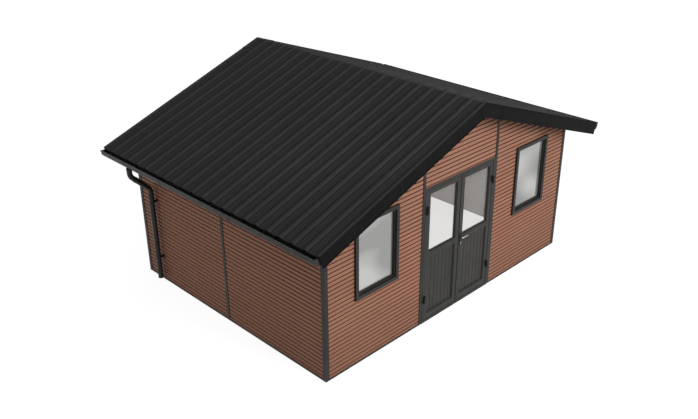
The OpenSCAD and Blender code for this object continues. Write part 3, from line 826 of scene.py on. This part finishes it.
def build_window(side, word):
    lo, hi = (WINDOW_LO.x, WINDOW_LO.z), (WINDOW_HI.x, WINDOW_HI.z)
    front, face, inner = WINDOW_LO.y, FRONT_FACE, WINDOW_HI.y
    glass_lo, glass_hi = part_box("window_glass_right")
    place, soft = gable(side), 0.003
    bar = [(0, face), (0, front + soft), (soft, front), (FACE_W - soft, front), (FACE_W, front + soft)]
    bar += [(FACE_W, inner), (FLANGE_LAP, inner), (FLANGE_LAP, face)]
    step, deep = front + SASH_STEP, FACE_W + SASH_W
    sash = [(FACE_W + 0.0006, inner), (FACE_W + 0.0006, step + 0.002), (FACE_W + 0.003, step)]
    sash += [(deep - 0.004, step), (deep, step + 0.006), (deep, inner)]
    shape = Shape()
    shape.mitred(bar, lo, hi, place)
    shape.mitred(sash, lo, hi, place)
    for x in (0.30, 0.70):
        slot_x = lo[0] + (hi[0] - lo[0]) * x
        cover = [(slot_x - 0.016, lo[1] + 0.018), (slot_x + 0.016, lo[1] + 0.018)]
        cover += [(slot_x + 0.012, lo[1] + 0.027), (slot_x - 0.012, lo[1] + 0.027)]
        shape.prism(cover, place, front - 0.003, front + 0.001)
    shape.make(f"casing_{word}", FRAME_METAL, "frame_metal", nodes=[f"window_frame_{word}"])

    seal = Shape()
    for y0, y1 in ((glass_lo.y - 0.004, glass_lo.y), (glass_hi.y, glass_hi.y + 0.004)):
        seal.mitred([(deep - 0.001, y0), (deep + 0.004, y0 + 0.001), (deep + 0.007, y1), (deep - 0.001, y1)], lo, hi, place)
    seal.make(f"window_seal_{word}", RUBBER, "frame_metal")


# ---- door frame and leaves ----

JAMB_W = 0.035
STOP = 0.013
SILL_LO, SILL_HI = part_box("door_threshold")
SILL_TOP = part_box("door_jamb_right")[0].z


def build_door_frame():
    y_out, y_in = SILL_LO.y, SILL_HI.y
    inner = DOOR_X - JAMB_W
    for side, word in ((-1, "left"), (1, "right")):
        shape = Shape()
        shape.block((inner, y_out, SILL_TOP), (DOOR_X, y_in, DOOR_TOP), side)
        shape.block((inner - STOP, y_in - STOP, SILL_TOP + STOP), (inner, y_in, DOOR_TOP - JAMB_W), side)
        shape.make(f"jamb_{word}", DOOR_METAL, "door_metal", nodes=[f"door_jamb_{word}"], bevel=0.0015)
    head = Shape()
    head.block((-inner, y_out, DOOR_TOP - JAMB_W), (inner, y_in, DOOR_TOP))
    head.block((STOP - inner, y_in - STOP, DOOR_TOP - JAMB_W - STOP), (inner - STOP, y_in, DOOR_TOP - JAMB_W))
    head.make("head_bar", DOOR_METAL, "door_metal", nodes=["door_head"], bevel=0.0015)

    sill = Shape()
    tread = [(y_out, 0), (y_in, 0), (y_in, SILL_TOP - 0.001)]
    for k in range(4, -1, -1):
        y = y_out + 0.008 + k * 0.011
        tread += [(y + 0.004, SILL_TOP - 0.001), (y + 0.004, SILL_TOP - 0.003), (y, SILL_TOP - 0.003), (y, SILL_TOP - 0.001)]
    tread += [(y_out + 0.004, SILL_TOP - 0.001), (y_out, SILL_TOP - 0.005)]
    sill.prism(tread, flank(), -DOOR_X, DOOR_X)
    sill.block((-inner, y_in - STOP, SILL_TOP - 0.002), (inner, y_in, SILL_TOP + STOP))
    sill.make("sill_tread", DOOR_METAL, "door_metal", nodes=["door_threshold"])

    seal = Shape()
    for side in (-1, 1):
        edge = inner - STOP + 0.003
        seal.block((edge, y_in - STOP - 0.004, SILL_TOP + STOP), (edge + 0.006, y_in - STOP + 0.001, DOOR_TOP - JAMB_W), side)
    seal.make("door_seal", RUBBER, "door_metal")


LEAF_LO, LEAF_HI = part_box("door_leaf_right")
PANEL_LO, PANEL_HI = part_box("door_panel_right")
PANE_LO, PANE_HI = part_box("door_glass_right")
PANEL_BOARDS = 7


def panel_line(y, sign):
    """Plan of the panel's face: seven boards with a fine groove between each two."""
    line, width = [(PANEL_LO.x, y)], (PANEL_HI.x - PANEL_LO.x) / PANEL_BOARDS
    for k in range(1, PANEL_BOARDS):
        x = PANEL_LO.x + k * width
        line += [(x - 0.0035, y), (x - 0.0012, y + sign * 0.004), (x + 0.0012, y + sign * 0.004), (x + 0.0035, y)]
    return [*line, (PANEL_HI.x, y)]


def build_leaf(side, word):
    body, y0, y1 = f"{word}_leaf", LEAF_LO.y, LEAF_HI.y
    x_in, x_out = PANEL_LO.x, PANEL_HI.x
    shape = Shape()
    shape.block((LEAF_LO.x, y0, LEAF_LO.z), (x_in, y1, LEAF_HI.z), side)
    shape.block((x_out, y0, LEAF_LO.z), (LEAF_HI.x, y1, LEAF_HI.z), side)
    for z0, z1 in ((LEAF_LO.z, PANEL_LO.z), (PANEL_HI.z, PANE_LO.z), (PANE_HI.z, LEAF_HI.z)):
        shape.block((x_in + 0.0003, y0 + 0.0003, z0), (x_out - 0.0003, y1 - 0.0003, z1), side)
    shape.make(f"leaf_frame_{word}", DOOR_METAL, "door_metal", body, [f"door_leaf_{word}"], bevel=0.0018)

    beads, seal, place = Shape(), Shape(), gable(side)
    for lo, hi in ((PANEL_LO, PANEL_HI), (PANE_LO, PANE_HI)):
        corners = ((lo.x, lo.z), (hi.x, hi.z))
        for outer, inner in ((y0 + 0.006, lo.y), (y1 - 0.006, hi.y)):
            tip = outer + (inner - outer) * 0.35
            beads.mitred([(0, outer), (0.004, outer), (0.011, tip), (0.011, inner), (0, inner)], *corners, place)
    beads.make(f"leaf_beads_{word}", DOOR_METAL, "door_metal", body)

    panel = Shape()
    front, back = panel_line(PANEL_LO.y, 1), panel_line(PANEL_HI.y, -1)
    grooves = [float(abs(y - PANEL_LO.y) > 0.001) for _, y in front]
    panel.ribbon(front, back, plan(side), PANEL_LO.z, PANEL_HI.z, grooves=grooves)
    panel.make(f"leaf_panel_{word}", DOOR_METAL, "door_metal", body, [f"door_panel_{word}"])

    corners = ((PANE_LO.x, PANE_LO.z), (PANE_HI.x, PANE_HI.z))
    for a, b in ((PANE_LO.y - 0.003, PANE_LO.y), (PANE_HI.y, PANE_HI.y + 0.003)):
        seal.mitred([(0.010, a), (0.014, a), (0.015, b), (0.010, b)], *corners, place)
    seal.make(f"leaf_seal_{word}", RUBBER, "door_metal", body)


# ---- hinges and handle ----

HINGE_R = 0.013
HINGE_H = 0.110
HINGE_X = 0.690
HINGE_Y = frame["joints"][0]["position"][1] if "position" in frame["joints"][0] else FRONT_Y - 0.018
HINGE_Z = (0.372, 1.706)


def knuckle(shape, side, z0, z1, cap_up):
    """A hinge barrel with a domed cap at its free end."""
    length, dome = z1 - z0, 0.004
    profile = [(HINGE_R - 0.001, 0), (HINGE_R, 0.001), (HINGE_R, length - dome), (HINGE_R - dome, length)]
    start, along = ((z0, (0, 0, 1)) if cap_up else (z1, (0, 0, -1)))
    shape.lathe(profile, (side * HINGE_X, HINGE_Y, start), along, 32)


def hinge_screw(shape, x, y, z):
    shape.lathe([(0.0045, 0), (0.0045, 0.001), (0.003, 0.0018)], (x, y, z), (0, -1, 0), 14)


def build_hinges():
    jamb_face = SILL_LO.y
    jamb = Shape()
    for side in (-1, 1):
        for z in HINGE_Z:
            low = z - HINGE_H / 2
            knuckle(jamb, side, low, z - 0.0005, False)
            jamb.block((HINGE_X, HINGE_Y - 0.002, low + 0.004), (HINGE_X + 0.022, jamb_face, z - 0.004), side)
            jamb.lathe([(0.004, 0), (0.004, HINGE_H - 0.006)], (side * HINGE_X, HINGE_Y, low + 0.001), (0, 0, 1))
            for dz in (0.014, 0.040):
                hinge_screw(jamb, side * (HINGE_X + 0.016), HINGE_Y - 0.002, low + dz)
    jamb.make("hinges_on_jambs", HINGE_METAL, "hinge_metal", nodes=["jamb_hinges"], bevel=0.0012)
    for side, word in ((-1, "left"), (1, "right")):
        leaf = Shape()
        for z in HINGE_Z:
            high = z + HINGE_H / 2
            knuckle(leaf, side, z + 0.0005, high, True)
            leaf.block((HINGE_X - 0.022, HINGE_Y - 0.002, z + 0.004), (HINGE_X, LEAF_LO.y - 0.004, high - 0.004), side)
            leaf.block((HINGE_X - 0.033, LEAF_LO.y - 0.004, z + 0.002), (LEAF_HI.x, LEAF_LO.y, high - 0.002), side)
            for dz in (0.014, 0.040):
                hinge_screw(leaf, side * (HINGE_X - 0.016), HINGE_Y - 0.002, z + dz)
        name = f"hinges_on_{word}_leaf"
        leaf.make(name, HINGE_METAL, "hinge_metal", f"{word}_leaf", [f"leaf_hinges_{word}"], bevel=0.0012)


HANDLE_X = 0.041
HANDLE_Z = 1.051
PLATE_LO, PLATE_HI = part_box("handle_plates")
LEVER_LO, LEVER_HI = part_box("handle_lever")
LOCK_Z = HANDLE_Z - 0.082


def stadium(cx, z0, z1, width, steps=10):
    """Outline of a plate with round ends."""
    r = width / 2
    top = [(cx + r * math.cos(math.pi * k / steps), z1 - r + r * math.sin(math.pi * k / steps)) for k in range(steps + 1)]
    return top + [(2 * cx - x, z0 + z1 - z) for x, z in top]


def build_handle():
    plates, lock = Shape(), Shape()
    width = 0.032
    for face, out in ((LEAF_LO.y, -1), (LEAF_HI.y, 1)):
        z0, z1 = PLATE_LO.z, PLATE_HI.z
        plates.prism(stadium(HANDLE_X, z0, z1, width), gable(), face, face + out * 0.006)
        plates.prism(stadium(HANDLE_X, z0 + 0.002, z1 - 0.002, width - 0.004), gable(), face + out * 0.005, face + out * 0.008)
        base = (HANDLE_X, face + out * 0.007, HANDLE_Z)
        plates.lathe([(0.0145, 0), (0.0145, 0.002), (0.012, 0.0045), (0.0098, 0.0045)], base, (0, out, 0))
        centre = (HANDLE_X, face + out * 0.007, LOCK_Z)
        lock.lathe([(0.0088, 0), (0.0088, 0.0032), (0.0078, 0.004)], centre, (0, out, 0))
        slot = face + out * 0.0109
        lock.block((HANDLE_X - 0.0035, min(slot, slot + out * 0.0005), LOCK_Z - 0.024), (HANDLE_X + 0.0035, max(slot, slot + out * 0.0005), LOCK_Z - 0.006))
    plates.make("plates_of_handle", HINGE_METAL, "hinge_metal", "right_leaf", ["handle_plates"], bevel=0.0006)
    lock.make("lock_cylinder", HANDLE_STEEL, "handle_metal", "right_leaf")

    lever, r = Shape(), 0.008
    tip_x = LEVER_HI.x
    for outer, out in ((LEVER_LO.y + r, -1), (LEVER_HI.y - r, 1)):
        start = (LEAF_LO.y if out < 0 else LEAF_HI.y) + out * 0.012
        path = rounded_path(
            [(HANDLE_X, start - out * 0.02, HANDLE_Z), (HANDLE_X, outer, HANDLE_Z), (tip_x - 0.006, outer, HANDLE_Z)],
            0.017,
        )
        lever.tube(path, r, sides=24)
        lever.lathe([(r, 0), (r * 0.92, 0.003), (r * 0.6, 0.006)], (tip_x - 0.0062, outer, HANDLE_Z), (1, 0, 0), 24)
    lever.tube([(HANDLE_X, LEVER_LO.y + 0.03, HANDLE_Z), (HANDLE_X, LEVER_HI.y - 0.03, HANDLE_Z)], 0.006, sides=20)
    lever.make("lever_bar", HANDLE_STEEL, "handle_metal", "lever", ["handle_lever"], smooth=True)


def finish_cad_nodes():
    """Materials of the CAD nodes that stay, because their shape is right as it is."""
    looks = {
        "base_rails": FRAME_METAL,
        "window_glass_left": WINDOW_GLASS,
        "window_glass_right": WINDOW_GLASS,
        "door_glass_left": DOOR_GLASS,
        "door_glass_right": DOOR_GLASS,
        "ridge_beam": TIMBER,
        "roof_purlins": TIMBER,
        "fascia_boards": TRIM_METAL,
    }
    for node, material in looks.items():
        mesh = frame["nodes"][node].data
        mesh.materials.clear()
        mesh.materials.append(material)


# ---- camera, light and ground ----


def build_camera():
    azimuth, elevation, roll = (math.radians(a) for a in (-44.6963, 26.4426, -0.39))
    forward = -Vector(
        (
            math.sin(azimuth) * math.cos(elevation),
            -math.cos(azimuth) * math.cos(elevation),
            math.sin(elevation),
        )
    )
    right = forward.cross(Vector((0, 0, 1))).normalized()
    up = right.cross(forward)
    tilted_right = right * math.cos(roll) + up * math.sin(roll)
    tilted_up = up * math.cos(roll) - right * math.sin(roll)
    camera = bpy.data.objects.new("camera", bpy.data.cameras.new("camera"))
    turn = Matrix((tilted_right, tilted_up, -forward)).transposed().to_4x4()
    camera.matrix_world = Matrix.Translation((-8.0303, -7.9157, 6.4269)) @ turn
    camera.data.lens, camera.data.sensor_width = 42.81, 36
    bpy.context.scene.collection.objects.link(camera)
    bpy.context.scene.camera = camera


def softbox(name, place, target, width, power):
    lamp = bpy.data.lights.new(name, "AREA")
    lamp.shape, lamp.size, lamp.energy = "DISK", width, power
    holder = bpy.data.objects.new(name, lamp)
    holder.location = place
    holder.rotation_euler = (Vector(target) - Vector(place)).to_track_quat("-Z", "Y").to_euler()
    bpy.context.scene.collection.objects.link(holder)


def seen_directly(tree):
    """1 for rays from the camera, from a mirror or through glass."""
    path = tree.nodes.new("ShaderNodeLightPath")
    total = path.outputs["Is Camera Ray"]
    for name in ("Is Glossy Ray", "Is Transmission Ray"):
        higher = tree.nodes.new("ShaderNodeMath")
        higher.operation = "MAXIMUM"
        tree.links.new(total, higher.inputs[0])
        tree.links.new(path.outputs[name], higher.inputs[1])
        total = higher.outputs[0]
    return total


def build_studio():
    world = bpy.data.worlds.new("studio")
    bpy.context.scene.world = world
    world.use_nodes = True
    tree = world.node_tree
    tree.nodes.clear()
    output = tree.nodes.new("ShaderNodeOutputWorld")
    mix = tree.nodes.new("ShaderNodeMixShader")
    fill, white = tree.nodes.new("ShaderNodeBackground"), tree.nodes.new("ShaderNodeBackground")
    fill.inputs["Color"].default_value, fill.inputs["Strength"].default_value = (0.97, 0.98, 1, 1), 0.31
    white.inputs["Color"].default_value, white.inputs["Strength"].default_value = (1, 1, 1, 1), 1.0
    tree.links.new(seen_directly(tree), mix.inputs[0])
    tree.links.new(fill.outputs[0], mix.inputs[1])
    tree.links.new(white.outputs[0], mix.inputs[2])
    tree.links.new(mix.outputs[0], output.inputs["Surface"])

    ground = bpy.data.materials.new("ground")
    ground.use_nodes = True
    tree = ground.node_tree
    shader = tree.nodes["Principled BSDF"]
    shader.inputs["Base Color"].default_value = (0.42, 0.42, 0.42, 1)
    shader.inputs["Roughness"].default_value = 1.0
    shader.inputs["Specular IOR Level"].default_value = 0.0
    glow = tree.nodes.new("ShaderNodeEmission")
    glow.inputs["Strength"].default_value = 0.88
    none = tree.nodes.new("ShaderNodeEmission")
    none.inputs["Strength"].default_value = 0.0
    pick, add = tree.nodes.new("ShaderNodeMixShader"), tree.nodes.new("ShaderNodeAddShader")
    tree.links.new(seen_directly(tree), pick.inputs[0])
    tree.links.new(none.outputs[0], pick.inputs[1])
    tree.links.new(glow.outputs[0], pick.inputs[2])
    tree.links.new(shader.outputs[0], add.inputs[0])
    tree.links.new(pick.outputs[0], add.inputs[1])
    tree.links.new(add.outputs[0], tree.nodes["Material Output"].inputs["Surface"])
    bpy.ops.mesh.primitive_circle_add(vertices=96, radius=60, fill_type="NGON", location=(0, 0, -0.001))
    floor = bpy.context.object
    floor.name = "ground"
    floor.data.materials.append(ground)

    softbox("key", (1.2, -13.0, 7.4), (0.2, -1.9, 1.2), 6.0, 1040)
    softbox("fill", (-10.0, 1.5, 6.5), (-2.5, 0, 1.2), 6.0, 70)


bpy.context.scene.view_settings.view_transform = "Standard"
build_posts()
build_walls()
build_roof()
build_bargeboards()
build_door_frame()
build_hinges()
build_handle()
for side, word in ((-1, "left"), (1, "right")):
    build_gutter(side, word)
    build_downpipe(side, word)
    build_window(side, word)
    build_leaf(side, word)
finish_cad_nodes()
build_camera()
build_studio()
